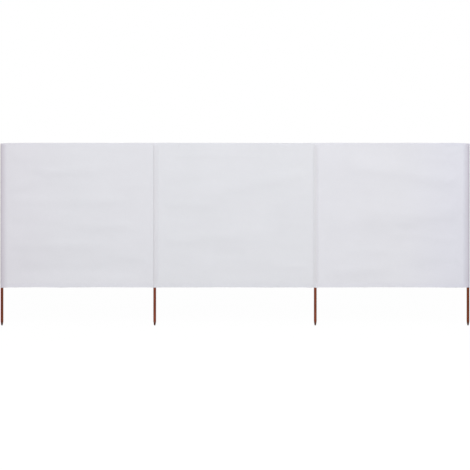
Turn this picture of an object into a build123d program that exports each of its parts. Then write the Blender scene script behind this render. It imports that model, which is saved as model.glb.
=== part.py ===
"""Beach windbreak: one strip of white cloth in three bays, sewn round four wooden stakes.

The origin is the middle of the left middle stake's blunt foot. +X runs along the windbreak to
the right as seen from the front, +Y points to the back, where the hems are turned, and +Z is up.
"""

from build123d import *
import math
import os

# Driving dimensions, in millimetres
middle_pitch = 1334.0  # between the axes of the two middle stakes
end_pitch = 1269.0  # from a middle stake's axis to the end stake's axis beside it
cloth_height = 1200.0
bare_stake = 316.0  # stake below the cloth, most of which is pushed into the sand
layer = 1.0  # thickness of one layer of cloth

# Stakes
stake_d = 23.0
point_length = 33.0
foot_d = 11.0  # the blunt end of the point
head_drop = 26.0  # from the cloth's top edge down to the stake's head
head_edge = 2.5  # rounding of the head's rim

# Sleeves
stake_slack = 0.3  # all round, between a stake and its sleeve
end_sleeve_width = 58.0  # from the cloth's end edge to the seam
pocket_width = 58.0  # from seam to seam round a middle stake
left_pocket_shift = 11.5  # the pocket's middle lies this far right of its stake's axis
right_pocket_shift = 3.3
seam_allowance = 4.0  # cloth sewn flat together inside a seam's edge
flat_half = 1.6  # half the thickness of a sleeve sewn flat above its stake

# Hems and the fold lines of the bays
top_hem = 24.0
bottom_hem = 35.0
fold_gap = 0.4  # between a middle pocket's seam and the outer bay that folds about its stake

# Sizes and places that follow
cloth_bottom = bare_stake
cloth_top = cloth_bottom + cloth_height
head_z = cloth_top - head_drop
stake_r = stake_d / 2
inner_r = stake_r + stake_slack
outer_r = inner_r + layer
open_tip = 0.1 * layer  # half the height of a sleeve's hollow where its layers meet
left_middle_x = 0.0
right_middle_x = left_middle_x + middle_pitch
left_end_x = left_middle_x - end_pitch
right_end_x = right_middle_x + end_pitch
end_seam = end_sleeve_width - outer_r  # from the end stake's axis


def write(piece, name):
    """Labels a finished piece and writes it as the node of that name."""
    piece.part.label = name
    export_step(piece.part, f"parts/{name}.step")


def drawn_round(radius, seams, half_tip):
    """Edges whose hull is cloth drawn tight from round a stake's axis to each seam's short end."""
    with BuildLine() as drawn:
        CenterArc((0, 0), radius, 0, 360)
        for seam in seams:
            Line((seam, -half_tip), (seam, half_tip))
    return drawn.edges()


def hollow_seams(seams):
    """Where the layers meet inside a sleeve: a seam allowance short of each seam."""
    return [seam - math.copysign(seam_allowance, seam) for seam in seams]


def sleeve_section(seams):
    """The cloth round a stake in plan: an outer outline less the hollow for the stake."""
    with BuildSketch() as section:
        make_hull(drawn_round(outer_r, seams, layer))
        make_hull(drawn_round(inner_r, hollow_seams(seams), open_tip), mode=Mode.SUBTRACT)
    return section.sketch


def closed_over(x, radius, seams, half_tip, half_flat, top):
    """A sleeve's inside or outside above the head, pinched flat between quarter rounds."""
    rounding = radius - half_flat
    with BuildPart() as closed:
        with BuildSketch(Plane((x, 0, head_z))):
            make_hull(drawn_round(radius, seams, half_tip))
        extrude(amount=top - head_z)
        with BuildSketch(Plane((x, 0, head_z), x_dir=(0, 1, 0), z_dir=(1, 0, 0))):
            with BuildLine():
                rise = CenterArc((half_flat, 0), rounding, 0, 90)
                Polyline(rise @ 1, (half_flat, top - head_z), (0, top - head_z), (0, 0), rise @ 0)
            make_face()
            mirror(about=Plane.YZ)
        extrude(amount=2 * max(end_sleeve_width, pocket_width), both=True, mode=Mode.INTERSECT)
    return closed.part


def make_stake(name, x):
    """A round stake with a tapered, blunt point below and a rounded head."""
    with BuildPart() as stake:
        with BuildSketch(Plane((x, 0, point_length))):
            Circle(stake_r)
        extrude(amount=head_z - point_length)
        fillet(stake.edges().sort_by(Axis.Z)[-1], head_edge)
        with BuildSketch(Plane((x, 0, 0))):
            Circle(foot_d / 2)
        with BuildSketch(Plane((x, 0, point_length))):
            Circle(stake_r)
        loft()
    write(stake, name)


def make_sleeve_top(name, x, seams):
    """A sleeve's end above its stake: a hollow crown over the head, then layers sewn flat."""
    hollow_top = head_z + inner_r
    with BuildPart() as sleeve_top:
        add(closed_over(x, outer_r, seams, layer, flat_half, cloth_top))
        hollow = closed_over(x, inner_r, hollow_seams(seams), open_tip, open_tip, hollow_top)
        add(hollow, mode=Mode.SUBTRACT)
    write(sleeve_top, name)


def make_end_sleeve(side, x, seam):
    """The cloth's end, turned back round the end stake and sewn down at one seam."""
    with BuildPart() as sleeve:
        with BuildSketch(Plane((x, 0, cloth_bottom))):
            add(sleeve_section([seam]))
        extrude(amount=head_z - cloth_bottom)
    write(sleeve, f"{side}_end_sleeve")
    make_sleeve_top(f"{side}_end_sleeve_top", x, [seam])


def make_pocket(side, x, seams):
    """A middle stake's pocket: the front layer and the strip sewn on behind it."""
    for layer_name, kept in (("front", Keep.TOP), ("back", Keep.BOTTOM)):
        with BuildPart() as half:
            with BuildSketch(Plane((x, 0, cloth_bottom))):
                add(sleeve_section(seams))
            extrude(amount=head_z - cloth_bottom)
            split(bisect_by=Plane.XZ, keep=kept)
        write(half, f"{side}_middle_pocket_{layer_name}")
    make_sleeve_top(f"{side}_middle_pocket_top", x, seams)


def make_strip(name, start_x, end_x, back_y, low_z, high_z):
    """One flat layer of cloth that stands on edge, its rear face at back_y."""
    with BuildPart() as strip:
        with BuildSketch(Plane((0, 0, low_z))):
            with Locations(((start_x + end_x) / 2, back_y - layer / 2)):
                Rectangle(end_x - start_x, layer)
        extrude(amount=high_z - low_z)
    write(strip, name)


def make_bay(side, start_x, end_x):
    """One bay of cloth between two seams, with the hems turned to its back."""
    cloth_back = layer / 2
    hem_back = cloth_back + layer
    make_strip(f"{side}_bay_cloth", start_x, end_x, cloth_back, cloth_bottom, cloth_top)
    make_strip(f"{side}_top_hem", start_x, end_x, hem_back, cloth_top - top_hem, cloth_top)
    make_strip(f"{side}_bottom_hem", start_x, end_x, hem_back, cloth_bottom, cloth_bottom + bottom_hem)


os.makedirs("parts", exist_ok=True)

stakes = {
    "left_end_stake": left_end_x,
    "left_middle_stake": left_middle_x,
    "right_middle_stake": right_middle_x,
    "right_end_stake": right_end_x,
}
for stake_name, stake_x in stakes.items():
    make_stake(stake_name, stake_x)

left_seams = [left_pocket_shift - pocket_width / 2, left_pocket_shift + pocket_width / 2]
right_seams = [right_pocket_shift - pocket_width / 2, right_pocket_shift + pocket_width / 2]
make_end_sleeve("left", left_end_x, end_seam)
make_end_sleeve("right", right_end_x, -end_seam)
make_pocket("left", left_middle_x, left_seams)
make_pocket("right", right_middle_x, right_seams)

left_fold, middle_start = (left_middle_x + seam for seam in left_seams)
middle_end, right_fold = (right_middle_x + seam for seam in right_seams)
make_bay("left", left_end_x + end_seam, left_fold - fold_gap)
make_bay("middle", middle_start, middle_end)
make_bay("right", right_fold + fold_gap, right_end_x - end_seam)
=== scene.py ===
"""Looks of the beach windbreak: hemmed, stitched white cloth drawn round four stained stakes.

Metres throughout. In the middle of a bay the cloth's front layer lies in the plane y = 0, which
holds the stakes' axes. At its seams it stands in front of that plane, -Y, where it passes over
a stake. The hems are turned to the back, +Y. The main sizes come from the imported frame's boxes.
"""

import math

import bpy
import numpy as np
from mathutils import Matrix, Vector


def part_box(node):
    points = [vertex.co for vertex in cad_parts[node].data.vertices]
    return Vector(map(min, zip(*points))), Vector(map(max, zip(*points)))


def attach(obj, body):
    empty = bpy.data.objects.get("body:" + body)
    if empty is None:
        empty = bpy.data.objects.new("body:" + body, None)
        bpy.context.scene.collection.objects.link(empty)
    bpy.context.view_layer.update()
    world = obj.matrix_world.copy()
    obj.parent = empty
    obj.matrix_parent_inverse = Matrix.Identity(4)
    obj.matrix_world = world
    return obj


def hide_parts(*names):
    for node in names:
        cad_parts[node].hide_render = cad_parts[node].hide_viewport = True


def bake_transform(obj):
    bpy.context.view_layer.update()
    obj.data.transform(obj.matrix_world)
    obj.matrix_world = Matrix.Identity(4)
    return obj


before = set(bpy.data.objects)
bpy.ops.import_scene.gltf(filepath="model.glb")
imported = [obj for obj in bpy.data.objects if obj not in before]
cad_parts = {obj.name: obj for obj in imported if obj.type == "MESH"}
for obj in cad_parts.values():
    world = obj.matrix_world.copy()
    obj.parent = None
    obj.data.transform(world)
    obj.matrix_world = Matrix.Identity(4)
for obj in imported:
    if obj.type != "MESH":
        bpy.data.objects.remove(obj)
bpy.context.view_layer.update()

MM = 0.001

# Cloth
LAYER = 1.0 * MM  # from the middle of one layer to the middle of the next, as it lies in a hem
FOLD = 0.4 * MM  # a fold line stands this far past the start of its turn
FOLD_FLAT = 3 * FOLD  # and this far past the place where the layers lie flat again
TUCK = 7 * MM  # cloth turned in again behind the edge of a hem
SKIN = 0.2 * MM  # a sleeve's sheet lies this far inside the CAD sleeve's outer face
SEWN = 4 * MM  # layers sewn flat together at the edge of a sleeve or pocket
FLAT_FROM = 11.2 * MM  # a sleeve is pinched flat this far above its stake's head
END_STAND = 8 * MM  # the front layer stands this far in front of the stakes' axes at an end seam
POCKET_STAND = 9 * MM  # and this far at a middle pocket's seams
END_SHADE_WIDTH = 62 * MM  # painted shade round an end stake, reaching this far in from the cloth's outer edge
POCKET_FRONT_R = 14 * MM  # the front layer passes a middle stake at this distance from its axis
LIFTED = 3 * MM  # a sleeve's cloth this far out of the flat counts as lying round the stake
TURNED_UP = 0.6 * MM  # a sleeve's lower hem lies this far inside its outer layer
TURNED_UP_SHORT = 1 * MM  # and stops this far below the bays' bottom hems

# Spacing of a sheet's points
NEAR_SEAM = 24 * MM  # columns stand closer together this near to a seam
FINE_COLUMNS = 3 * MM
WIDE_COLUMNS = 5.5 * MM
ABOVE_BOTTOM_HEM = 12 * MM  # rows stand closer together up to this far above the bottom hem
BELOW_TOP_HEM = 14 * MM  # and from this far below the top hem
LOW_ROWS = 4 * MM
MIDDLE_ROWS = 8 * MM
HIGH_ROWS = 3 * MM
TURNED_UP_ROWS = 5 * MM
PLAN_STEP = 3.5 * MM  # along the straight parts of a sleeve, seen in plan
END_SLEEVE_STEPS = 30  # round an end stake
POCKET_STEPS = 16  # round one side of a middle stake

# Stitches
STITCH_PITCH = 4.2 * MM
STITCH_LENGTH = 3.0 * MM
STITCH_WIDTH = 0.55 * MM
STITCH_HEIGHT = 0.3 * MM
SEAM_INSET = 2.4 * MM  # from a seam's edge to its stitches
HEM_INSET = 3 * MM  # from a hem's edge to its stitches
CLOSING_DROP = 7 * MM  # from the top edge down to the line that closes a sleeve
SEAM_SHORT = 2 * MM  # a seam's stitches stop this far from the cloth's edges

# One stitch, in shares of its length, width and height
STITCH_RINGS = ((-0.32, 0.75, 0.55), (0.0, 1.0, 1.0), (0.32, 0.75, 0.55))  # place, width, height
STITCH_TIP_DEPTH = -0.6
STITCH_SIDE_DEPTH = -0.4
STITCH_TOP = 0.3  # half the width of its flat top

# Colours and tones, linear
CLOTH_COLOUR = (0.767, 0.772, 0.808)
THREAD_COLOUR = (0.77, 0.77, 0.79)
END_SHADE_TONE = (0.830, 0.800, 0.832)  # multiplies the cloth's colour where the painted shade is darkest, at an end's outer edge
BAY_TONES = {  # these multiply it in each bay
    "left": (1.0, 0.995, 1.0),
    "middle": (0.988, 0.988, 0.988),
    "right": (1.0, 0.993, 1.0),
}
END_TONES = {  # and these at the outer ends, fading out half a bay further in
    "left": (0.998, 0.985, 0.993),
    "right": (0.980, 0.982, 1.010),
}
PATCH_DARK = 0.985  # share of the cloth's colour in its darker and its lighter patches
PATCH_LIGHT = 1.012
GAP_TONE = (0.955, 0.955, 0.958)  # multiplies the cloth's colour between threads
THREAD_SHADE = 0.9  # share of the thread's colour in the grooves of its twist
WOOD_DARK = (0.106, 0.020, 0.009)
WOOD_LIGHT = (0.252, 0.066, 0.034)
BROWN_TONE = (0.78, 0.82, 0.62)  # multiplies the wood's colour where the stain is browner
STAIN_THICK = (0.84, 0.82, 0.82)  # and these where the stain is thick or thin
STAIN_THIN = (1.1, 1.06, 1.04)
DARKER_FOOT = (0.45, 0.62, 0.72)  # and this at the foot, which is darker towards its point

# Grain of the materials
WEAVE_SCALE = 380.0  # a thread every 0.8 mm
YARN_DRAWN = 0.03  # a yarn's unevenness is drawn out along it by one over this
YARN_UNEVEN = 0.8  # how much the yarns vary beside the weave itself
THROUGH_SHARE = 0.28  # share of the light that the cloth spreads on its far side
GRAIN_DRAWN = 0.03  # the wood's grain is drawn out along the stake in the same way
STREAK_SHARE = 0.72  # share of fine streaks beside growth rings
WAVE_UNIT = 0.314  # wavelength of a wave texture at scale 1
RING_SPACING = 2.6 * MM
PITH = (19 * MM, 23 * MM)  # the tree's middle, from a stake's axis
FOOT_DARK_LOW, FOOT_DARK_HIGH = 14 * MM, 40 * MM  # the darkening of a foot fades out between these heights
FOOT_DARK_WANDER = 20 * MM  # which rise and fall by this much round the stake

# The stakes' own sizes
FOOT_R = 5.5 * MM
FOOT_EDGE = ((0.9 * MM, 0.0), (0.25 * MM, 0.25 * MM), (0.0, 0.9 * MM))  # in and up, round its rim
POINT_LENGTH = 33 * MM
POINT_SHARES = (0.12, 0.3, 0.5, 0.7, 0.88)
SHOULDER = ((0.6 * MM, 2.2 * MM), (0.12 * MM, 0.0))  # in and down, where the point meets the shaft
SHAFT_START = 3 * MM  # above the point
SHAFT_END = 2 * MM  # below the head's rounding
SHAFT_STEP = 24 * MM
HEAD_ROUND = 2.5 * MM
HEAD_STEPS = 6
STAKE_SIDES = 40
UNEVEN = 0.004  # a stake is thinner by up to twice this share
LOBES = 3  # in slight lobes round it
LOBE_TWIST = 9.0  # which turn by this many radians in a metre
LOBE_SWELL = 17.0  # and swell and fade over this many
STAKE_BROWN = {  # how brown each stake's stain is
    "left_end_stake": 0.8,
    "left_middle_stake": 0.0,
    "right_middle_stake": 0.25,
    "right_end_stake": 1.0,
}

# Light, floor and camera
SOFT_LIGHT = 0.30  # the world's even light
KEY_POWER = 1088.0
KEY_SIZE = (6.0, 4.5)
KEY_PLACE = (1.25, -10.0, 4.4)
FLOOR_GREY = (0.6, 0.6, 0.6, 1)
FLOOR_GLOW = 1.03  # what shows of the floor is mostly this plain white
FLOOR_GLOW_SHARE = 0.95
FLOOR_REACH = 120.0
CAMERA_LENS = 100.0
SENSOR = 36.0
CAMERA_CLIP = 500.0
PHOTO_WIDTH = 3.905  # metres across the photograph at the object
PHOTO_CENTRE = (0.667, 0.751)  # x and z at the middle of the photograph


def extent(node, axis):
    """Lowest and highest coordinate of a CAD node along one axis."""
    low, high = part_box(node)
    return low[axis], high[axis]


# Sizes from the frame
CLOTH_LOW, CLOTH_HIGH = extent("middle_bay_cloth", 2)
TOP_HEM_LOW = extent("middle_top_hem", 2)[0]
BOTTOM_HEM_HIGH = extent("middle_bottom_hem", 2)[1]
HEAD_Z = extent("left_middle_stake", 2)[1]
STAKE_BODIES = {
    "left_end_stake": "left_bay",
    "left_middle_stake": "middle_bay",
    "right_middle_stake": "middle_bay",
    "right_end_stake": "right_bay",
}
STAKE_X = {name: sum(extent(name, 0)) / 2 for name in STAKE_BODIES}
STAKE_R = (extent("left_end_stake", 0)[1] - extent("left_end_stake", 0)[0]) / 2
SLEEVE_R = extent("left_middle_pocket_back", 1)[1] - SKIN
LEFT_POCKET = extent("left_middle_pocket_front", 0)
RIGHT_POCKET = extent("right_middle_pocket_front", 0)
LEFT_SEAM = extent("left_end_sleeve", 0)[1]
RIGHT_SEAM = extent("right_end_sleeve", 0)[0]
BAYS = {
    "left": (LEFT_SEAM, LEFT_POCKET[0]),
    "middle": (LEFT_POCKET[1], RIGHT_POCKET[0]),
    "right": (RIGHT_POCKET[1], RIGHT_SEAM),
}
SEAM_XS = (LEFT_SEAM, *LEFT_POCKET, *RIGHT_POCKET, RIGHT_SEAM)

# How the cloth lies

# Each bay's ends along x, and how far forward the cloth stands at both of them
BAY_STANDS = (
    (*BAYS["left"], END_STAND, POCKET_STAND),
    (*BAYS["middle"], POCKET_STAND, POCKET_STAND),
    (*BAYS["right"], POCKET_STAND, END_STAND),
)

HELD_REACH = 14 * MM  # cloth this near to a stake's axis has no creases
FREE_REACH = 110 * MM  # and they grow over this distance further out

CREASE_SPREAD = (0.8, 0.5)  # share of a crease's half width at its start, and what is gained
CREASE_START = 0.14  # share of its length over which it rises
CREASE_END = 0.36  # and over which it dies out

# Faint creases, each from where it starts to where it dies out: x, z, x, z, half width and height
CREASES = (
    # right bay, most of them drawn from the right end stake
    (2.60, 1.17, 1.36, 1.41, 0.080, 12.5 * MM),
    (2.60, 0.94, 1.46, 0.93, 0.088, 7.8 * MM),
    (2.59, 0.90, 1.87, 0.88, 0.040, 1.2 * MM),
    (2.45, 1.37, 2.08, 1.39, 0.030, 1.6 * MM),
    (2.54, 0.71, 1.81, 0.78, 0.050, 2.6 * MM),
    (2.55, 0.53, 2.04, 0.46, 0.060, -4.0 * MM),
    (2.08, 0.86, 2.11, 0.29, 0.120, -7.5 * MM),
    (1.58, 0.61, 2.00, 0.63, 0.040, 2.4 * MM),
    (1.46, 0.44, 2.04, 0.49, 0.045, 2.8 * MM),
    (1.77, 1.53, 2.07, 1.44, 0.034, -2.2 * MM),
    # the corner at the right end stake's head
    (2.61, 1.51, 2.40, 1.40, 0.015, 2.2 * MM),
    (2.61, 1.48, 2.45, 1.32, 0.016, 1.8 * MM),
    (2.61, 1.52, 2.34, 1.46, 0.016, -1.5 * MM),
    (2.60, 1.43, 2.51, 1.19, 0.018, -1.4 * MM),
    (2.59, 1.29, 2.37, 1.16, 0.020, 1.4 * MM),
    # middle bay
    (0.04, 1.41, 1.17, 1.40, 0.024, 1.3 * MM),
    (1.32, 1.29, 0.14, 1.01, 0.062, 4.4 * MM),
    (0.04, 1.01, 0.58, 1.00, 0.038, 1.7 * MM),
    (0.04, 0.71, 1.00, 0.74, 0.056, 3.8 * MM),
    (0.76, 0.61, 0.29, 0.59, 0.040, -2.4 * MM),
    (0.40, 0.44, 0.59, 0.58, 0.018, 1.2 * MM),
    (1.32, 0.49, 0.94, 0.48, 0.028, 2.2 * MM),
    (1.31, 1.11, 0.89, 0.96, 0.040, 1.8 * MM),
    (0.04, 1.16, 0.71, 1.22, 0.050, -1.8 * MM),
    (1.33, 0.35, 0.10, 0.33, 0.100, 4.6 * MM),
    # left bay
    (-1.27, 1.11, -0.66, 1.31, 0.048, 5.4 * MM),
    (-1.02, 1.275, -0.30, 1.30, 0.044, 5.2 * MM),
    (-1.27, 1.04, -0.14, 1.04, 0.050, 4.6 * MM),
    (-0.20, 1.03, -0.62, 1.03, 0.034, 1.5 * MM),
    (-0.16, 0.83, -0.80, 0.82, 0.046, 4.4 * MM),
    (-1.27, 0.66, -0.19, 0.67, 0.044, 3.4 * MM),
    (-1.22, 0.455, -0.02, 0.465, 0.058, -5.4 * MM),
    (-1.24, 0.83, -0.79, 0.86, 0.050, -2.8 * MM),
    (-0.02, 0.54, -0.46, 0.61, 0.044, 2.4 * MM),
    (-1.25, 1.46, -0.87, 1.39, 0.070, 3.0 * MM),
    (-0.02, 1.17, -0.37, 1.14, 0.036, 2.0 * MM),
)

ROLL_BEND = 0.5  # a roll's phase swings by this many radians as it runs along x
ROLL_BEND_LENGTH = 1.7  # over this many of its own wavelengths

# Broad rolls of the cloth: rise, wavelengths along x and z, and phase
ROLLS = (
    (1.4 * MM, 4.60, 0.61, 0.4),
    (0.9 * MM, -3.30, 0.37, 2.1),
    (0.5 * MM, 2.10, 0.23, 4.0),
    (0.22 * MM, -1.30, 0.137, 1.2),
    (0.10 * MM, 0.90, 0.083, 5.2),
)

# Gathers beside a seam or hem line: share, wavelength, swing of the phase and its length
SEAM_GATHERS = ((1.0, 31 * MM, 1.3, 52 * MM), (0.6, 19 * MM, 2.0, 83 * MM))
HEM_GATHERS = ((1.0, 34 * MM, 1.4, 61 * MM), (0.6, 21 * MM, 2.1, 97 * MM))
SEAM_GATHER = (0.16 * MM, 9 * MM)  # height and half width
HEM_GATHER = (0.22 * MM, 8 * MM)
HEM_GATHER_FROM = 16 * MM  # hem lines have none this near to a stake's axis
HEM_GATHER_GROWS = 40 * MM  # and they grow over this distance

EDGE_REACH = 0.45  # share of the cloth's height over which an edge's rises and dips fade out

# Where the top edge stands high or low: x, half width, rise
TOP_EDGE = (
    (-1.285, 0.045, -5.5 * MM),
    (-1.180, 0.080, -1.2 * MM),
    (-0.620, 0.090, 0.7 * MM),
    (-0.300, 0.060, -0.6 * MM),
    (0.100, 0.060, 0.8 * MM),
    (0.450, 0.120, 0.6 * MM),
    (0.800, 0.080, -0.6 * MM),
    (1.140, 0.120, -1.4 * MM),
    (1.560, 0.100, 0.9 * MM),
    (1.850, 0.100, -0.8 * MM),
    (2.100, 0.060, 0.7 * MM),
    (2.330, 0.035, -1.2 * MM),
    (2.560, 0.050, -2.2 * MM),
    (2.612, 0.030, -5.0 * MM),
)

# Where the bottom edge stands high or low
BOTTOM_EDGE = (
    (-1.262, 0.035, -3.2 * MM),
    (-0.970, 0.070, 1.6 * MM),
    (-0.790, 0.080, -1.4 * MM),
    (-0.420, 0.120, 1.2 * MM),
    (0.000, 0.040, -1.6 * MM),
    (0.530, 0.060, 1.6 * MM),
    (0.960, 0.080, -0.8 * MM),
    (1.300, 0.050, -2.2 * MM),
    (1.870, 0.120, 1.2 * MM),
    (2.480, 0.090, -1.8 * MM),
)


def ease(value):
    """Smooth step from 0 to 1."""
    t = np.clip(value, 0, 1)
    return t * t * (3 - 2 * t)


def bump(distance, width):
    """A smooth bump, 1 at distance 0."""
    return np.exp(-((distance / width) ** 2))


def free(x):
    """0 where the cloth is held against a stake, rising to 1 well inside a bay."""
    held = np.ones_like(x)
    for stake_x in STAKE_X.values():
        held = held * ease((np.abs(x - stake_x) - HELD_REACH) / FREE_REACH)
    return held


def crease_height(x, z, crease):
    """How far one crease brings the cloth forward."""
    x0, z0, x1, z1, width, height = crease
    run_x, run_z = x1 - x0, z1 - z0
    length = math.hypot(run_x, run_z)
    along = ((x - x0) * run_x + (z - z0) * run_z) / length
    across = ((x - x0) * run_z - (z - z0) * run_x) / length
    t = along / length
    spread = width * (CREASE_SPREAD[0] + CREASE_SPREAD[1] * np.clip(t, 0, 1))
    fade = ease(t / CREASE_START) * ease((1 - t) / CREASE_END)
    return height * fade * bump(across, spread)


def forward(x, z):
    """How far the cloth stands in front of its plane."""
    out = np.zeros_like(x)
    for rise, long, tall, phase in ROLLS:
        bend_length = ROLL_BEND_LENGTH * abs(long)
        bend = ROLL_BEND * np.sin(2 * math.pi * x / bend_length + 2 * phase)
        out = out + rise * np.sin(2 * math.pi * (x / long + z / tall) + phase + bend)
    for crease in CREASES:
        out = out + crease_height(x, z, crease)
    return out * free(x) + pucker(x, z)


def gathers(place, waves):
    """Uneven ripples along a line of stitches."""
    return sum(
        share * np.sin(2 * math.pi * place / length + swing * np.sin(place / swing_length))
        for share, length, swing, swing_length in waves
    )


def pucker(x, z):
    """Small gathers where the thread draws the cloth together."""
    out = np.zeros_like(x)
    height, width = SEAM_GATHER
    for seam in SEAM_XS:
        out = out + height * gathers(z, SEAM_GATHERS) * bump(x - seam, width)
    height, width = HEM_GATHER
    away = ease((distance_to_stake(x) - HEM_GATHER_FROM) / HEM_GATHER_GROWS)
    for line in (BOTTOM_HEM_HIGH - HEM_INSET, TOP_HEM_LOW + HEM_INSET):
        out = out + height * gathers(x, HEM_GATHERS) * away * bump(z - line, width)
    return out


def distance_to_stake(x):
    """Distance along x to the nearest stake's axis."""
    return np.min([np.abs(x - stake_x) for stake_x in STAKE_X.values()], axis=0)


def edge_rise(x, edge):
    """Height of an edge's slow rises and dips."""
    return sum(rise * bump(x - middle, width) for middle, width, rise in edge)


def upward(x, z):
    """How far the cloth is drawn up or down, most at its two edges."""
    share = (z - CLOTH_LOW) / (CLOTH_HIGH - CLOTH_LOW)
    near_top = ease((share - 1 + EDGE_REACH) / EDGE_REACH)
    near_bottom = ease((EDGE_REACH - share) / EDGE_REACH)
    return edge_rise(x, TOP_EDGE) * near_top + edge_rise(x, BOTTOM_EDGE) * near_bottom


def stand(x):
    """How far in front of the stakes' axes the flat cloth stands: least in the middle of a bay."""
    out = np.where((x <= LEFT_SEAM) | (x >= RIGHT_SEAM), END_STAND, POCKET_STAND)
    for start, end, at_start, at_end in BAY_STANDS:
        t = np.clip((x - start) / (end - start), 0, 1)
        inside = (x > start) & (x < end)
        out = np.where(inside, (at_start + (at_end - at_start) * t) * (1 - 2 * t) ** 2, out)
    return out


def lie(x, y, z):
    """Moves points of the flat cloth, y from its front layer, to where they lie."""
    return np.stack([x, y - forward(x, z), z + upward(x, z)], axis=-1)


# Meshes

def new_object(name, points, faces, material):
    """A smooth mesh object of these points and faces."""
    mesh = bpy.data.meshes.new(name)
    mesh.from_pydata(points, [], faces)
    mesh.materials.append(material)
    mesh.polygons.foreach_set("use_smooth", [True] * len(mesh.polygons))
    mesh.update()
    obj = bpy.data.objects.new(name, mesh)
    bpy.context.scene.collection.objects.link(obj)
    return obj


def grid_faces(rows, columns, flip=False, closed=False):
    """Quads of a grid of points, kept row by row."""
    last = columns if closed else columns - 1
    faces = []
    for r in range(rows - 1):
        for c in range(last):
            a = r * columns + c
            b = r * columns + (c + 1) % columns
            quad = (a, b, b + columns, a + columns)
            faces.append(quad[::-1] if flip else quad)
    return faces


def add_flat_map(obj, across, along):
    """Keeps each point's place on the flat, uncut cloth, in metres, for the weave."""
    grid = np.stack(np.meshgrid(across, along), axis=-1).reshape(-1, 2)
    places = np.concatenate([grid, np.zeros((len(grid), 1))], axis=1)
    kept = obj.data.attributes.new("flat_place", "FLOAT_VECTOR", "POINT")
    kept.data.foreach_set("vector", places.astype(np.float32).ravel())


def add_end_shade(obj, painted_end_shade, rows):
    """Keeps how much painted shade darkens the cloth, one value for each column of its grid."""
    kept = obj.data.attributes.new("painted_end_shade", "FLOAT", "POINT")
    kept.data.foreach_set("value", np.tile(painted_end_shade, rows).astype(np.float32))


def bay_tone(x):
    """The cloth's tone at a place along x: its bay's, tinted further towards the outer ends."""
    to_middle = ease((x - LEFT_POCKET[0]) / (LEFT_POCKET[1] - LEFT_POCKET[0]))[:, None]
    to_right = ease((x - RIGHT_POCKET[0]) / (RIGHT_POCKET[1] - RIGHT_POCKET[0]))[:, None]
    left, middle, right = (np.array(BAY_TONES[side]) for side in ("left", "middle", "right"))
    tone = left + (middle - left) * to_middle + (right - middle) * to_right
    for side, seam, pocket_edge in (
        ("left", LEFT_SEAM, LEFT_POCKET[0]),
        ("right", RIGHT_SEAM, RIGHT_POCKET[1]),
    ):
        near_end = ease(2 * (x - pocket_edge) / (seam - pocket_edge) - 1)[:, None]
        tone = tone * (1 + (np.array(END_TONES[side]) - 1) * near_end)
    return tone


def add_tone(obj):
    """Keeps the cloth's tone at each point."""
    places = np.empty(3 * len(obj.data.vertices), dtype=np.float32)
    obj.data.vertices.foreach_get("co", places)
    kept = obj.data.attributes.new("bay_tone", "FLOAT_VECTOR", "POINT")
    kept.data.foreach_set("vector", bay_tone(places[0::3]).astype(np.float32).ravel())


def spaced(start, end, step):
    """Evenly spaced values from start to end, about step apart."""
    count = max(1, round(abs(end - start) / step))
    return list(np.linspace(start, end, count + 1))


def columns_between(start, end):
    """Places along x, close together beside the seams at both ends."""
    return np.array(
        spaced(start, start + NEAR_SEAM, FINE_COLUMNS)
        + spaced(start + NEAR_SEAM, end - NEAR_SEAM, WIDE_COLUMNS)[1:-1]
        + spaced(end - NEAR_SEAM, end, FINE_COLUMNS)
    )


# Rows of a sheet from its lower tuck up the front and down to its upper tuck: height and layer.
# Layer 0 is the front, 1 the turned hem and 0.5 the tucked edge between them.

def turned_edge(fold_z, inward):
    """Rows round the free edge of a hem, from its tuck to its outer layer."""
    return [
        (fold_z - inward * TUCK, 0.5),
        (fold_z - inward * TUCK / 2, 0.5),
        (fold_z - inward * FOLD_FLAT, 0.5),
        (fold_z - inward * FOLD, 0.5),
        (fold_z, 0.75),
        (fold_z - inward * FOLD, 1.0),
        (fold_z - inward * FOLD_FLAT, 1.0),
    ]


def front_rows():
    """Rows of the front layer, close together at the hems."""
    low_end, high_start = BOTTOM_HEM_HIGH + ABOVE_BOTTOM_HEM, TOP_HEM_LOW - BELOW_TOP_HEM
    heights = spaced(CLOTH_LOW + FOLD_FLAT, low_end, LOW_ROWS)
    heights += spaced(low_end, high_start, MIDDLE_ROWS)[1:-1]
    heights += spaced(high_start, CLOTH_HIGH - FOLD_FLAT, HIGH_ROWS)
    return [(z, 0.0) for z in heights]


def bay_rows():
    """Rows of a bay: bottom hem behind, front layer, top hem behind."""
    low_hem = spaced(BOTTOM_HEM_HIGH - FOLD_FLAT, CLOTH_LOW + FOLD_FLAT, LOW_ROWS)
    high_hem = spaced(CLOTH_HIGH - FOLD_FLAT, TOP_HEM_LOW + FOLD_FLAT, HIGH_ROWS)
    rows = turned_edge(BOTTOM_HEM_HIGH, 1) + [(z, 1.0) for z in low_hem[1:]]
    rows += [(CLOTH_LOW + FOLD, 1.0), (CLOTH_LOW, 0.5), (CLOTH_LOW + FOLD, 0.0)]
    rows += front_rows()
    rows += [(CLOTH_HIGH - FOLD, 0.0), (CLOTH_HIGH, 0.5), (CLOTH_HIGH - FOLD, 1.0)]
    rows += [(z, 1.0) for z in high_hem] + turned_edge(TOP_HEM_LOW, -1)[::-1][1:]
    return rows


def run_lengths(xs, ys):
    """Length along a polyline up to each of its points."""
    steps = np.hypot(np.diff(xs), np.diff(ys))
    return np.concatenate([[0.0], np.cumsum(steps)])


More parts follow.
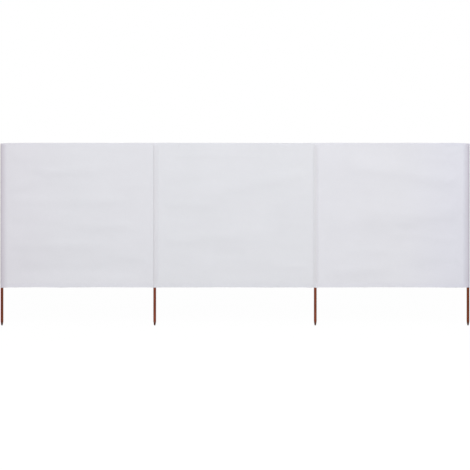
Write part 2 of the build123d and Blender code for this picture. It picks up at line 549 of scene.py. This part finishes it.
def make_bay(side, start, end, body, cloth):
    """One bay of cloth with its hems, as one folded sheet."""
    xs = columns_between(start, end)
    rows = bay_rows()
    zs = np.array([z for z, _ in rows])
    layers = np.array([layer for _, layer in rows])
    grid_x, grid_z = np.meshgrid(xs, zs)
    grid_y = np.meshgrid(xs, layers * LAYER)[1] - stand(grid_x)
    points = lie(grid_x, grid_y, grid_z).reshape(-1, 3)
    obj = new_object(f"{side}_bay_sheet", points, grid_faces(len(zs), len(xs)), cloth)
    along = run_lengths(zs, layers * LAYER)
    add_flat_map(obj, xs, along)
    add_tone(obj)
    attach(obj, body)
    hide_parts(f"{side}_bay_cloth", f"{side}_top_hem", f"{side}_bottom_hem")
    return obj, (end - start, along[-1])


# Sleeves, each from a path round its stake seen in plan

def tangent_turn(place, radius):
    """Angle between the lines from a stake's axis to a point and to where cloth from it touches."""
    return math.acos(radius / math.hypot(*place))


def sewn_edge(u, inward, y):
    """Plan points of a turned and sewn edge, from its tuck to where the layers part."""
    return [
        (u + inward * TUCK, y - 0.5 * LAYER),
        (u + inward * FOLD_FLAT, y - 0.5 * LAYER),
        (u + inward * FOLD, y - 0.5 * LAYER),
        (u, y - 0.25 * LAYER),
        (u + inward * FOLD, y),
        (u + inward * FOLD_FLAT, y),
        (u + inward * SEWN, y),
    ]


def straight(a, b):
    """Plan points from a to b, both left out."""
    count = max(2, round(math.dist(a, b) / PLAN_STEP))
    shares = [i / count for i in range(1, count)]
    return [(a[0] + (b[0] - a[0]) * t, a[1] + (b[1] - a[1]) * t) for t in shares]


def arc(radius, start, end, count):
    """Plan points on a circle round the stake, from one angle to another."""
    angles = [start + (end - start) * i / count for i in range(count + 1)]
    return [(radius * math.cos(a), radius * math.sin(a)) for a in angles]


def end_sleeve_path(seam_u):
    """Front seam, round the outer side of the stake and back to the seam: seam_u is positive."""
    front = (seam_u - SEWN, -END_STAND)
    behind = (seam_u - SEWN, -END_STAND + LAYER)
    start = math.atan2(front[1], front[0]) - tangent_turn(front, SLEEVE_R)
    end = math.atan2(behind[1], behind[0]) + tangent_turn(behind, SLEEVE_R) - 2 * math.pi
    wrap = arc(SLEEVE_R, start, end, END_SLEEVE_STEPS)
    path = [(seam_u, -END_STAND), front]
    path += straight(front, wrap[0]) + wrap + straight(wrap[-1], behind)
    path += sewn_edge(seam_u, -1, behind[1])[::-1]
    return np.array(path)


def pocket_path(low_u, high_u, back):
    """Seam to seam over one side of a middle stake: the front layer, or the strip behind."""
    y = -POCKET_STAND + (LAYER if back else 0.0)
    radius = SLEEVE_R if back else POCKET_FRONT_R
    low, high = (low_u + SEWN, y), (high_u - SEWN, y)
    side = 1 if back else -1
    low_angle = math.atan2(low[1], low[0]) + (2 * math.pi if back else 0.0)
    start = low_angle - side * tangent_turn(low, radius)
    end = math.atan2(high[1], high[0]) + side * tangent_turn(high, radius)
    wrap = arc(radius, start, end, POCKET_STEPS)
    low_end = sewn_edge(low_u, 1, y) if back else [(low_u, y), low]
    high_end = sewn_edge(high_u, -1, y)[::-1] if back else [high, (high_u, y)]
    path = low_end + straight(low, wrap[0]) + wrap + straight(wrap[-1], high) + high_end
    return np.array(path)


def sleeve_rows():
    """Rows of a sleeve, from the hem turned up inside to the closed top.

    Each gives a height, how far inside the outer layer it lies, and 1 where the layers are closed.
    """
    start = BOTTOM_HEM_HIGH - TURNED_UP_SHORT
    rows = [(z, TURNED_UP, 0.0) for z in spaced(start, CLOTH_LOW + FOLD_FLAT, TURNED_UP_ROWS)]
    rows += [(CLOTH_LOW + FOLD, TURNED_UP, 0.0), (CLOTH_LOW, TURNED_UP / 2, 0.0)]
    rows += [(CLOTH_LOW + FOLD, 0.0, 0.0)] + [(z, 0.0, 0.0) for z, _ in front_rows()]
    rows += [(CLOTH_HIGH - FOLD, 0.0, 0.0), (CLOTH_HIGH, 0.0, 1.0)]
    return rows


def pinch(z):
    """Share of a sleeve's bulge left at a height: 1 beside the stake, 0 where it is flat."""
    rise = np.clip((z - HEAD_Z) / FLAT_FROM, 0, 1)
    return np.sqrt(1 - rise * rise)


def sleeve_mesh(name, stake, path, stand_out, flip, cloth, fold_at=0):
    """A sheet that follows a plan path round a stake, pinched flat above its head.

    fold_at is the outermost of the path's points, where a sleeve that goes all round is folded.
    """
    stake_x = STAKE_X[stake]
    flat_y = np.clip(path[:, 1], -stand_out, -stand_out + LAYER)
    flat_y[:fold_at] = -stand_out
    if fold_at:
        flat_y[fold_at] = -stand_out + 0.5 * LAYER
    inward = -path / np.linalg.norm(path, axis=1)[:, None]
    on_stake = ease(np.abs(path[:, 1] - flat_y) / LIFTED)[:, None]
    rows = sleeve_rows()
    points = []
    for z, inset, closing in rows:
        plan = path + inward * inset * on_stake
        x = stake_x + plan[:, 0]
        y = flat_y + (plan[:, 1] - flat_y) * pinch(z + upward(x, z))
        y = y * (1 - closing) + (0.5 * LAYER - stand_out) * closing
        points.append(lie(x, y, np.full_like(x, z)))
    obj = new_object(name, np.concatenate(points), grid_faces(len(rows), len(path), flip), cloth)
    along = run_lengths(np.array([z for z, _, _ in rows]), np.zeros(len(rows)))
    across = stake_x + run_lengths(path[:, 0], path[:, 1])
    add_flat_map(obj, across, along)
    add_tone(obj)
    return obj, (across[-1] - across[0], along[-1])


def make_end_sleeve(side, seam, body, cloth):
    """The cloth's end, wrapped round an end stake and sewn down behind."""
    stake = f"{side}_end_stake"
    facing = 1 if side == "left" else -1
    path = end_sleeve_path(abs(seam - STAKE_X[stake]))
    # painted shade, darkest at the outer edge round the end stake and fading out inwards
    painted_end_shade = ease(1 - (path[:, 0] + SLEEVE_R) / END_SHADE_WIDTH)
    outermost = int(np.argmin(path[:, 0]))
    path[:, 0] *= facing
    name = f"{side}_end_sleeve_sheet"
    obj, flat = sleeve_mesh(name, stake, path, END_STAND, side == "left", cloth, outermost)
    add_end_shade(obj, painted_end_shade, len(sleeve_rows()))
    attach(obj, body)
    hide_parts(f"{side}_end_sleeve", f"{side}_end_sleeve_top")
    return obj, flat


def make_pocket(side, pocket, cloth):
    """The front layer and the back strip round a middle stake."""
    stake = f"{side}_middle_stake"
    seams = [x - STAKE_X[stake] for x in pocket]
    made = []
    for layer, nodes in (("front", ("front", "top")), ("back", ("back",))):
        path = pocket_path(*seams, layer == "back")
        name = f"{side}_middle_pocket_{layer}_sheet"
        obj, flat = sleeve_mesh(name, stake, path, POCKET_STAND, layer == "back", cloth)
        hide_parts(*(f"{side}_middle_pocket_{node}" for node in nodes))
        made.append((obj, flat))
    return made


def fold_with(obj):
    """Bakes a pocket's piece's placing into its points; nothing bends it."""
    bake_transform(obj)


# Stitching

def stitch_shape():
    """One stitch lying along its first axis, its second across and its third out of the cloth."""
    low, top = STITCH_SIDE_DEPTH, STITCH_TOP
    points = [(-0.5, 0, STITCH_TIP_DEPTH)]
    for t, w, h in STITCH_RINGS:
        points += [(t, 0.5 * w, low), (t, top * w, h), (t, -top * w, h), (t, -0.5 * w, low)]
    points.append((0.5, 0, STITCH_TIP_DEPTH))
    faces = [(0, 2, 1), (0, 3, 2), (0, 4, 3)]
    for ring in (1, 5):
        faces += [(ring + i, ring + i + 1, ring + i + 5, ring + i + 4) for i in range(3)]
    faces += [(13, 9, 10), (13, 10, 11), (13, 11, 12)]
    scale = np.array([STITCH_LENGTH, STITCH_WIDTH, STITCH_HEIGHT])
    return np.array(points) * scale, faces


STITCH_POINTS, STITCH_FACES = stitch_shape()


def stitches_along(places, vertical, y, facing):
    """Stitches on the flat cloth at these x, z places: facing is -1 for the front face."""
    long, wide, high = STITCH_POINTS.T
    across_x, along_z = (wide, long) if vertical else (long, wide)
    points = []
    for x, z in places:
        xs, zs = x + across_x, z + along_z
        ys = y + facing * high - stand(np.full_like(xs, x))
        points.append(np.stack([xs, ys, zs], axis=-1))
    return points


def line_places(start, end, fixed, vertical):
    """Middles of evenly spaced stitches on a straight line."""
    count = int(abs(end - start) / STITCH_PITCH)
    places = [start + (end - start) * (i + 0.5) / count for i in range(count)]
    return [(fixed, t) if vertical else (t, fixed) for t in places]


def both_faces(places, vertical, back_y):
    """Stitches on the front face and on the face behind."""
    return stitches_along(places, vertical, 0.0, -1) + stitches_along(places, vertical, back_y, 1)


def stitching_object(name, stitches, thread):
    """All these stitches as one mesh that follows how the cloth lies."""
    flat = np.concatenate(stitches)
    points = lie(flat[:, 0], flat[:, 1], flat[:, 2])
    starts = range(0, len(flat), len(STITCH_POINTS))
    faces = [tuple(start + v for v in face) for start in starts for face in STITCH_FACES]
    obj = new_object(name, points, faces, thread)
    return obj


def make_bay_stitching(side, start, end, seam_lines, body, thread):
    """A bay's two hem lines and the seams that move with it."""
    stitches = []
    for z in (BOTTOM_HEM_HIGH - HEM_INSET, TOP_HEM_LOW + HEM_INSET):
        stitches += both_faces(line_places(start, end, z, False), False, LAYER)
    for x in seam_lines:
        places = line_places(CLOTH_LOW + SEAM_SHORT, CLOTH_HIGH - SEAM_SHORT, x, True)
        stitches += both_faces(places, True, LAYER)
    obj = stitching_object(f"{side}_bay_stitching", stitches, thread)
    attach(obj, body)
    return obj


def make_closing_stitching(name, start, end, thread):
    """The line that closes a sleeve above its stake's head."""
    places = line_places(start, end, CLOTH_HIGH - CLOSING_DROP, False)
    return stitching_object(name, both_faces(places, False, LAYER), thread)


# Stakes

def stake_profile(low, high):
    """Radius and height up a stake: blunt foot, tapered point, straight shaft and rounded head."""
    point_z, round_z = low + POINT_LENGTH, high - HEAD_ROUND
    profile = [(FOOT_R / 2, low)] + [(FOOT_R - inward, low + up) for inward, up in FOOT_EDGE]
    for t in POINT_SHARES:
        profile.append((FOOT_R + (STAKE_R - FOOT_R) * t, low + POINT_LENGTH * t))
    profile += [(STAKE_R - inward, point_z - down) for inward, down in SHOULDER]
    shaft = spaced(point_z + SHAFT_START, round_z - SHAFT_END, SHAFT_STEP)
    profile += [(STAKE_R, z) for z in shaft]
    inset = STAKE_R - HEAD_ROUND
    for turn in np.linspace(0, math.pi / 2, HEAD_STEPS):
        profile.append((inset + HEAD_ROUND * math.cos(turn), round_z + HEAD_ROUND * math.sin(turn)))
    profile.append((inset / 2, high))
    return profile


def make_stake(node, body, wood):
    """A turned stake, a little uneven, closed at its foot and head."""
    low, high = extent(node, 2)
    profile = stake_profile(low, high)
    angles = np.linspace(0, 2 * math.pi, STAKE_SIDES, endpoint=False)
    rings = []
    for radius, z in profile:
        swell = np.sin(LOBE_SWELL * z + STAKE_X[node])
        lobes = np.sin(LOBES * angles + LOBE_TWIST * z) * swell
        r = radius * (1 - UNEVEN * (1 + lobes))
        ring = (r * np.cos(angles), r * np.sin(angles), np.full(STAKE_SIDES, z))
        rings.append(np.stack(ring, axis=-1))
    points = np.concatenate([*rings, [(0, 0, low), (0, 0, high)]])
    foot, head = len(points) - 2, len(points) - 1
    last = foot - STAKE_SIDES
    faces = grid_faces(len(profile), STAKE_SIDES, closed=True)
    for i in range(STAKE_SIDES):
        after = (i + 1) % STAKE_SIDES
        faces += [(foot, after, i), (head, last + i, last + after)]
    name = node.replace("_stake", "_wooden_stake")
    obj = new_object(name, points + (STAKE_X[node], 0, 0), faces, wood)
    mesh = obj.data
    kept = mesh.attributes.new("stem_place", "FLOAT_VECTOR", "POINT")
    kept.data.foreach_set("vector", (points + (*PITH, 0)).astype(np.float32).ravel())
    brown = mesh.attributes.new("brown", "FLOAT", "POINT")
    brown.data.foreach_set("value", np.full(len(points), STAKE_BROWN[node], dtype=np.float32))
    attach(obj, body)
    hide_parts(node)
    return obj


# Materials

def node_adder(tree):
    """A function that adds nodes to a tree, with their inputs and settings by name."""
    tree.nodes.clear()

    def add(kind, **settings):
        node = tree.nodes.new(kind)
        for key, value in settings.items():
            if key in node.inputs:
                node.inputs[key].default_value = value
            else:
                setattr(node, key, value)
        return node

    return add


def node_material(name):
    """An empty node material, its tree and a function that adds nodes to it."""
    material = bpy.data.materials.new(name)
    material.use_nodes = True
    return material, material.node_tree, node_adder(material.node_tree)


def ramp(add, tree, source, stops):
    """A colour ramp between positions and colours."""
    node = add("ShaderNodeValToRGB")
    elements = node.color_ramp.elements
    elements[0].position, elements[0].color = stops[0][0], (*stops[0][1], 1)
    elements[1].position, elements[1].color = stops[-1][0], (*stops[-1][1], 1)
    for position, colour in stops[1:-1]:
        added = elements.new(position)
        added.color = (*colour, 1)
    tree.links.new(source, node.inputs["Fac"])
    return node


def product(add, tree, colour, tone):
    """Two colours multiplied."""
    mix = add("ShaderNodeMix", data_type="RGBA", blend_type="MULTIPLY")
    mix.inputs["Factor"].default_value = 1.0
    tree.links.new(colour, mix.inputs["A"])
    tree.links.new(tone, mix.inputs["B"])
    return mix.outputs["Result"]


def multiplied(add, tree, share, colour, tone):
    """A colour multiplied by a constant tone, as far as the share says."""
    mix = add("ShaderNodeMix", data_type="RGBA", blend_type="MULTIPLY")
    mix.inputs["B"].default_value = (*tone, 1)
    tree.links.new(share, mix.inputs["Factor"])
    tree.links.new(colour, mix.inputs["A"])
    return mix.outputs["Result"]


def cloth_material():
    """Woven white polyester: fine plain weave, soft sheen and some light let through."""
    material, tree, add = node_material("white_woven_cloth")
    link = tree.links.new
    place = add("ShaderNodeAttribute", attribute_name="flat_place")
    apart = add("ShaderNodeSeparateXYZ")
    link(place.outputs["Vector"], apart.inputs[0])
    warp = add("ShaderNodeTexWave", bands_direction="X", Scale=WEAVE_SCALE, Distortion=0.5)
    weft = add("ShaderNodeTexWave", bands_direction="Y", Scale=WEAVE_SCALE, Distortion=0.5)
    weave = add("ShaderNodeMath", operation="MULTIPLY")
    slub = add("ShaderNodeTexNoise", Scale=46.0, Detail=4.0, Roughness=0.6)
    broad = add("ShaderNodeTexNoise", Scale=2.6, Detail=3.0, Roughness=0.55)
    for node in (warp, weft, slub, broad):
        link(place.outputs["Vector"], node.inputs["Vector"])
    link(warp.outputs["Color"], weave.inputs[0])
    link(weft.outputs["Color"], weave.inputs[1])
    yarns = []
    for stretch in ((1.0, YARN_DRAWN, 1.0), (YARN_DRAWN, 1.0, 1.0)):
        drawn = add("ShaderNodeMapping")
        drawn.inputs["Scale"].default_value = stretch
        yarn = add("ShaderNodeTexNoise", Scale=620.0, Detail=2.0, Roughness=0.5)
        link(place.outputs["Vector"], drawn.inputs["Vector"])
        link(drawn.outputs["Vector"], yarn.inputs["Vector"])
        yarns.append(yarn)
    uneven = add("ShaderNodeMath", operation="ADD")
    link(yarns[0].outputs["Fac"], uneven.inputs[0])
    link(yarns[1].outputs["Fac"], uneven.inputs[1])
    thick = add("ShaderNodeMath", operation="MULTIPLY_ADD")
    thick.inputs[1].default_value = YARN_UNEVEN
    link(uneven.outputs[0], thick.inputs[0])
    link(weave.outputs[0], thick.inputs[2])
    gaps = ramp(add, tree, thick.outputs[0], ((0.55, GAP_TONE), (1.0, (1.0, 1.0, 1.0))))
    dark = tuple(c * PATCH_DARK for c in CLOTH_COLOUR)
    light = tuple(c * PATCH_LIGHT for c in CLOTH_COLOUR)
    patches = ramp(add, tree, broad.outputs["Fac"], ((0.3, dark), (0.7, light)))
    bay = add("ShaderNodeAttribute", attribute_name="bay_tone")
    painted_end_shade = add("ShaderNodeAttribute", attribute_name="painted_end_shade")
    toned = product(add, tree, patches.outputs["Color"], bay.outputs["Color"])
    # painted shade darkens the cloth round the end stakes
    end_shaded = multiplied(add, tree, painted_end_shade.outputs["Fac"], toned, END_SHADE_TONE)
    woven = product(add, tree, end_shaded, gaps.outputs["Color"])
    crimp = add("ShaderNodeBump", Strength=0.06, Distance=0.004)
    link(slub.outputs["Fac"], crimp.inputs["Height"])
    threads = add("ShaderNodeBump", Strength=0.4, Distance=0.0002)
    link(thick.outputs[0], threads.inputs["Height"])
    link(crimp.outputs["Normal"], threads.inputs["Normal"])
    surface = add("ShaderNodeBsdfPrincipled", Roughness=0.72)
    surface.inputs["Specular IOR Level"].default_value = 0.25
    surface.inputs["Sheen Weight"].default_value = 0.06
    surface.inputs["Sheen Roughness"].default_value = 0.5
    through = add("ShaderNodeBsdfTranslucent")
    mix = add("ShaderNodeMixShader", Fac=THROUGH_SHARE)
    output = add("ShaderNodeOutputMaterial")
    link(woven, surface.inputs["Base Color"])
    link(woven, through.inputs["Color"])
    link(threads.outputs["Normal"], surface.inputs["Normal"])
    link(surface.outputs[0], mix.inputs[1])
    link(through.outputs[0], mix.inputs[2])
    link(mix.outputs[0], output.inputs["Surface"])
    return material


def thread_material():
    """White sewing thread with its twist."""
    material, tree, add = node_material("white_sewing_thread")
    link = tree.links.new
    place = add("ShaderNodeTexCoord")
    twist = add("ShaderNodeTexWave", bands_direction="DIAGONAL", Scale=420.0, Distortion=0.4)
    link(place.outputs["Object"], twist.inputs["Vector"])
    dark = tuple(c * THREAD_SHADE for c in THREAD_COLOUR)
    tone = ramp(add, tree, twist.outputs["Fac"], ((0.2, dark), (0.8, THREAD_COLOUR)))
    relief = add("ShaderNodeBump", Strength=0.3, Distance=0.0001)
    link(twist.outputs["Fac"], relief.inputs["Height"])
    surface = add("ShaderNodeBsdfPrincipled", Roughness=0.5)
    output = add("ShaderNodeOutputMaterial")
    link(tone.outputs["Color"], surface.inputs["Base Color"])
    link(relief.outputs["Normal"], surface.inputs["Normal"])
    link(surface.outputs[0], output.inputs["Surface"])
    return material


def wood_material():
    """Reddish brown stained softwood: growth rings cut along the shaft and across its ends."""
    material, tree, add = node_material("stained_stake_wood")
    link = tree.links.new
    place = add("ShaderNodeAttribute", attribute_name="stem_place").outputs["Vector"]
    drawn_out = add("ShaderNodeMapping")
    drawn_out.inputs["Scale"].default_value = (1.0, 1.0, GRAIN_DRAWN)
    link(place, drawn_out.inputs["Vector"])
    along = drawn_out.outputs["Vector"]
    rings = add(
        "ShaderNodeTexWave",
        wave_type="RINGS",
        rings_direction="Z",
        wave_profile="SAW",
        Scale=WAVE_UNIT / RING_SPACING,
        Distortion=2.6,
        Detail=4.0,
    )
    rings.inputs["Detail Scale"].default_value = 0.7
    fibres = add("ShaderNodeTexNoise", Scale=820.0, Detail=5.0, Roughness=0.65)
    streaks = add("ShaderNodeTexNoise", Scale=260.0, Detail=5.0, Roughness=0.62)
    stain = add("ShaderNodeTexNoise", Scale=9.0, Detail=3.0, Roughness=0.5)
    for node in (rings, fibres, streaks):
        link(along, node.inputs["Vector"])
    link(place, stain.inputs["Vector"])
    middle = tuple((a + b) / 2 for a, b in zip(WOOD_DARK, WOOD_LIGHT))
    grain = add("ShaderNodeMix", data_type="FLOAT")
    grain.inputs["Factor"].default_value = STREAK_SHARE
    link(rings.outputs["Fac"], grain.inputs["A"])
    link(streaks.outputs["Fac"], grain.inputs["B"])
    grain_stops = ((0.32, WOOD_LIGHT), (0.5, middle), (0.7, WOOD_DARK))
    colour = ramp(add, tree, grain.outputs["Result"], grain_stops)
    patches = ramp(add, tree, stain.outputs["Fac"], ((0.3, STAIN_THICK), (0.7, STAIN_THIN)))
    stained = product(add, tree, colour.outputs["Color"], patches.outputs["Color"])
    brown = add("ShaderNodeAttribute", attribute_name="brown").outputs["Fac"]
    tinted = multiplied(add, tree, brown, stained, BROWN_TONE)
    up = add("ShaderNodeSeparateXYZ")
    link(place, up.inputs[0])
    uneven_foot_dark = add("ShaderNodeMath", operation="MULTIPLY_ADD")
    uneven_foot_dark.inputs[1].default_value = -FOOT_DARK_WANDER
    link(stain.outputs["Fac"], uneven_foot_dark.inputs[0])
    link(up.outputs["Z"], uneven_foot_dark.inputs[2])
    # the wood is darker towards each stake's foot
    foot_dark = add("ShaderNodeMapRange", interpolation_type="SMOOTHSTEP")
    foot_dark.inputs["From Min"].default_value = FOOT_DARK_LOW - FOOT_DARK_WANDER / 2
    foot_dark.inputs["From Max"].default_value = FOOT_DARK_HIGH - FOOT_DARK_WANDER / 2
    foot_dark.inputs["To Min"].default_value = 1.0
    foot_dark.inputs["To Max"].default_value = 0.0
    link(uneven_foot_dark.outputs[0], foot_dark.inputs["Value"])
    foot_darkened = multiplied(add, tree, foot_dark.outputs["Result"], tinted, DARKER_FOOT)
    relief = add("ShaderNodeBump", Strength=0.22, Distance=0.0002)
    link(grain.outputs["Result"], relief.inputs["Height"])
    fine = add("ShaderNodeBump", Strength=0.25, Distance=0.0002)
    link(fibres.outputs["Fac"], fine.inputs["Height"])
    link(relief.outputs["Normal"], fine.inputs["Normal"])
    polish = add("ShaderNodeMapRange")
    polish.inputs["To Min"].default_value = 0.5
    polish.inputs["To Max"].default_value = 0.72
    link(fibres.outputs["Fac"], polish.inputs["Value"])
    surface = add("ShaderNodeBsdfPrincipled")
    surface.inputs["Specular IOR Level"].default_value = 0.1
    output = add("ShaderNodeOutputMaterial")
    link(foot_darkened, surface.inputs["Base Color"])
    link(polish.outputs["Result"], surface.inputs["Roughness"])
    link(fine.outputs["Normal"], surface.inputs["Normal"])
    link(surface.outputs[0], output.inputs["Surface"])
    return material


def seen_directly(add, tree):
    """1 for rays from the camera, or sent on by gloss or glass, and 0 for light spread by cloth."""
    rays = add("ShaderNodeLightPath")
    seen = rays.outputs["Is Camera Ray"]
    for also in ("Is Glossy Ray", "Is Transmission Ray"):
        either = add("ShaderNodeMath", operation="MAXIMUM")
        tree.links.new(seen, either.inputs[0])
        tree.links.new(rays.outputs[also], either.inputs[1])
        seen = either.outputs[0]
    spread = add("ShaderNodeMath", operation="SUBTRACT", use_clamp=True)
    tree.links.new(seen, spread.inputs[0])
    tree.links.new(rays.outputs["Is Diffuse Ray"], spread.inputs[1])
    return spread.outputs[0]


def floor_material():
    """A pale floor that shows near white and keeps a faint shadow."""
    material, tree, add = node_material("pale_floor")
    direct = seen_directly(add, tree)
    share = add("ShaderNodeMath", operation="MULTIPLY")
    share.inputs[1].default_value = FLOOR_GLOW_SHARE
    tree.links.new(direct, share.inputs[0])
    matte = add("ShaderNodeBsdfDiffuse")
    matte.inputs["Color"].default_value = FLOOR_GREY
    glow = add("ShaderNodeEmission", Strength=FLOOR_GLOW)
    mix = add("ShaderNodeMixShader")
    output = add("ShaderNodeOutputMaterial")
    tree.links.new(share.outputs[0], mix.inputs["Fac"])
    tree.links.new(matte.outputs[0], mix.inputs[1])
    tree.links.new(glow.outputs[0], mix.inputs[2])
    tree.links.new(mix.outputs[0], output.inputs["Surface"])
    return material


# The studio

def set_world():
    """Even soft light, and plain white where it is seen directly."""
    world = bpy.data.worlds.new("studio")
    bpy.context.scene.world = world
    world.use_nodes = True
    tree = world.node_tree
    add = node_adder(tree)
    soft = add("ShaderNodeBackground", Strength=SOFT_LIGHT)
    white = add("ShaderNodeBackground", Strength=1.0)
    for node in (soft, white):
        node.inputs["Color"].default_value = (1, 1, 1, 1)
    mix = add("ShaderNodeMixShader")
    output = add("ShaderNodeOutputWorld")
    tree.links.new(seen_directly(add, tree), mix.inputs["Fac"])
    tree.links.new(soft.outputs[0], mix.inputs[1])
    tree.links.new(white.outputs[0], mix.inputs[2])
    tree.links.new(mix.outputs[0], output.inputs["Surface"])


def aim(obj, target):
    """Turns a lamp or camera towards a point."""
    direction = np.array(target) - np.array(obj.location)
    flat = math.hypot(direction[0], direction[1])
    turn = math.atan2(direction[1], direction[0]) - math.pi / 2
    obj.rotation_euler = (math.atan2(flat, -direction[2]), 0, turn)


def make_lights():
    """One large soft key, in front, above and a little to the right."""
    lamp = bpy.data.lights.new("key", "AREA")
    lamp.shape = "RECTANGLE"
    lamp.size, lamp.size_y = KEY_SIZE
    lamp.energy = KEY_POWER
    key = bpy.data.objects.new("key", lamp)
    key.location = KEY_PLACE
    bpy.context.scene.collection.objects.link(key)
    aim(key, (PHOTO_CENTRE[0], 0, PHOTO_CENTRE[1]))


def make_floor():
    """A very large level floor at the stakes' feet."""
    corners = ((-1, -1), (1, -1), (1, 1), (-1, 1))
    points = [(x * FLOOR_REACH, y * FLOOR_REACH, 0) for x, y in corners]
    floor = new_object("floor", points, [(0, 1, 2, 3)], floor_material())


def make_camera():
    """The photograph's view: level, square on, from far off."""
    data = bpy.data.cameras.new("camera")
    data.lens = CAMERA_LENS
    data.sensor_width = SENSOR
    data.clip_end = CAMERA_CLIP
    camera = bpy.data.objects.new("camera", data)
    distance = PHOTO_WIDTH * CAMERA_LENS / SENSOR
    camera.location = (PHOTO_CENTRE[0], -distance, PHOTO_CENTRE[1])
    camera.rotation_euler = (math.pi / 2, 0, 0)
    bpy.context.scene.collection.objects.link(camera)
    bpy.context.scene.camera = camera


bpy.context.scene.view_settings.view_transform = "Standard"
make_camera()
make_lights()
set_world()
make_floor()

cloth = cloth_material()
thread = thread_material()
wood = wood_material()
wooden = {node: make_stake(node, body, wood) for node, body in STAKE_BODIES.items()}

for side, (start, end) in BAYS.items():
    body = f"{side}_bay"
    seam_lines = (start - SEAM_INSET, end + SEAM_INSET)
    sheet, flat = make_bay(side, start, end, body, cloth)
    stitching = make_bay_stitching(side, start, end, seam_lines, body, thread)

for side, seam, pocket in (("left", LEFT_SEAM, LEFT_POCKET), ("right", RIGHT_SEAM, RIGHT_POCKET)):
    body = f"{side}_bay"
    sleeve, flat = make_end_sleeve(side, seam, body, cloth)
    closed_between = sorted((seam, STAKE_X[f"{side}_end_stake"]))
    closing = make_closing_stitching(f"{side}_end_sleeve_stitching", *closed_between, thread)
    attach(closing, body)
    closing = make_closing_stitching(f"{side}_middle_pocket_stitching", *pocket, thread)
    fold_with(closing)
    pocket_sheets = make_pocket(side, pocket, cloth)
    for (obj, flat), with_pieces in zip(pocket_sheets, ([closing], [])):
        fold_with(obj)
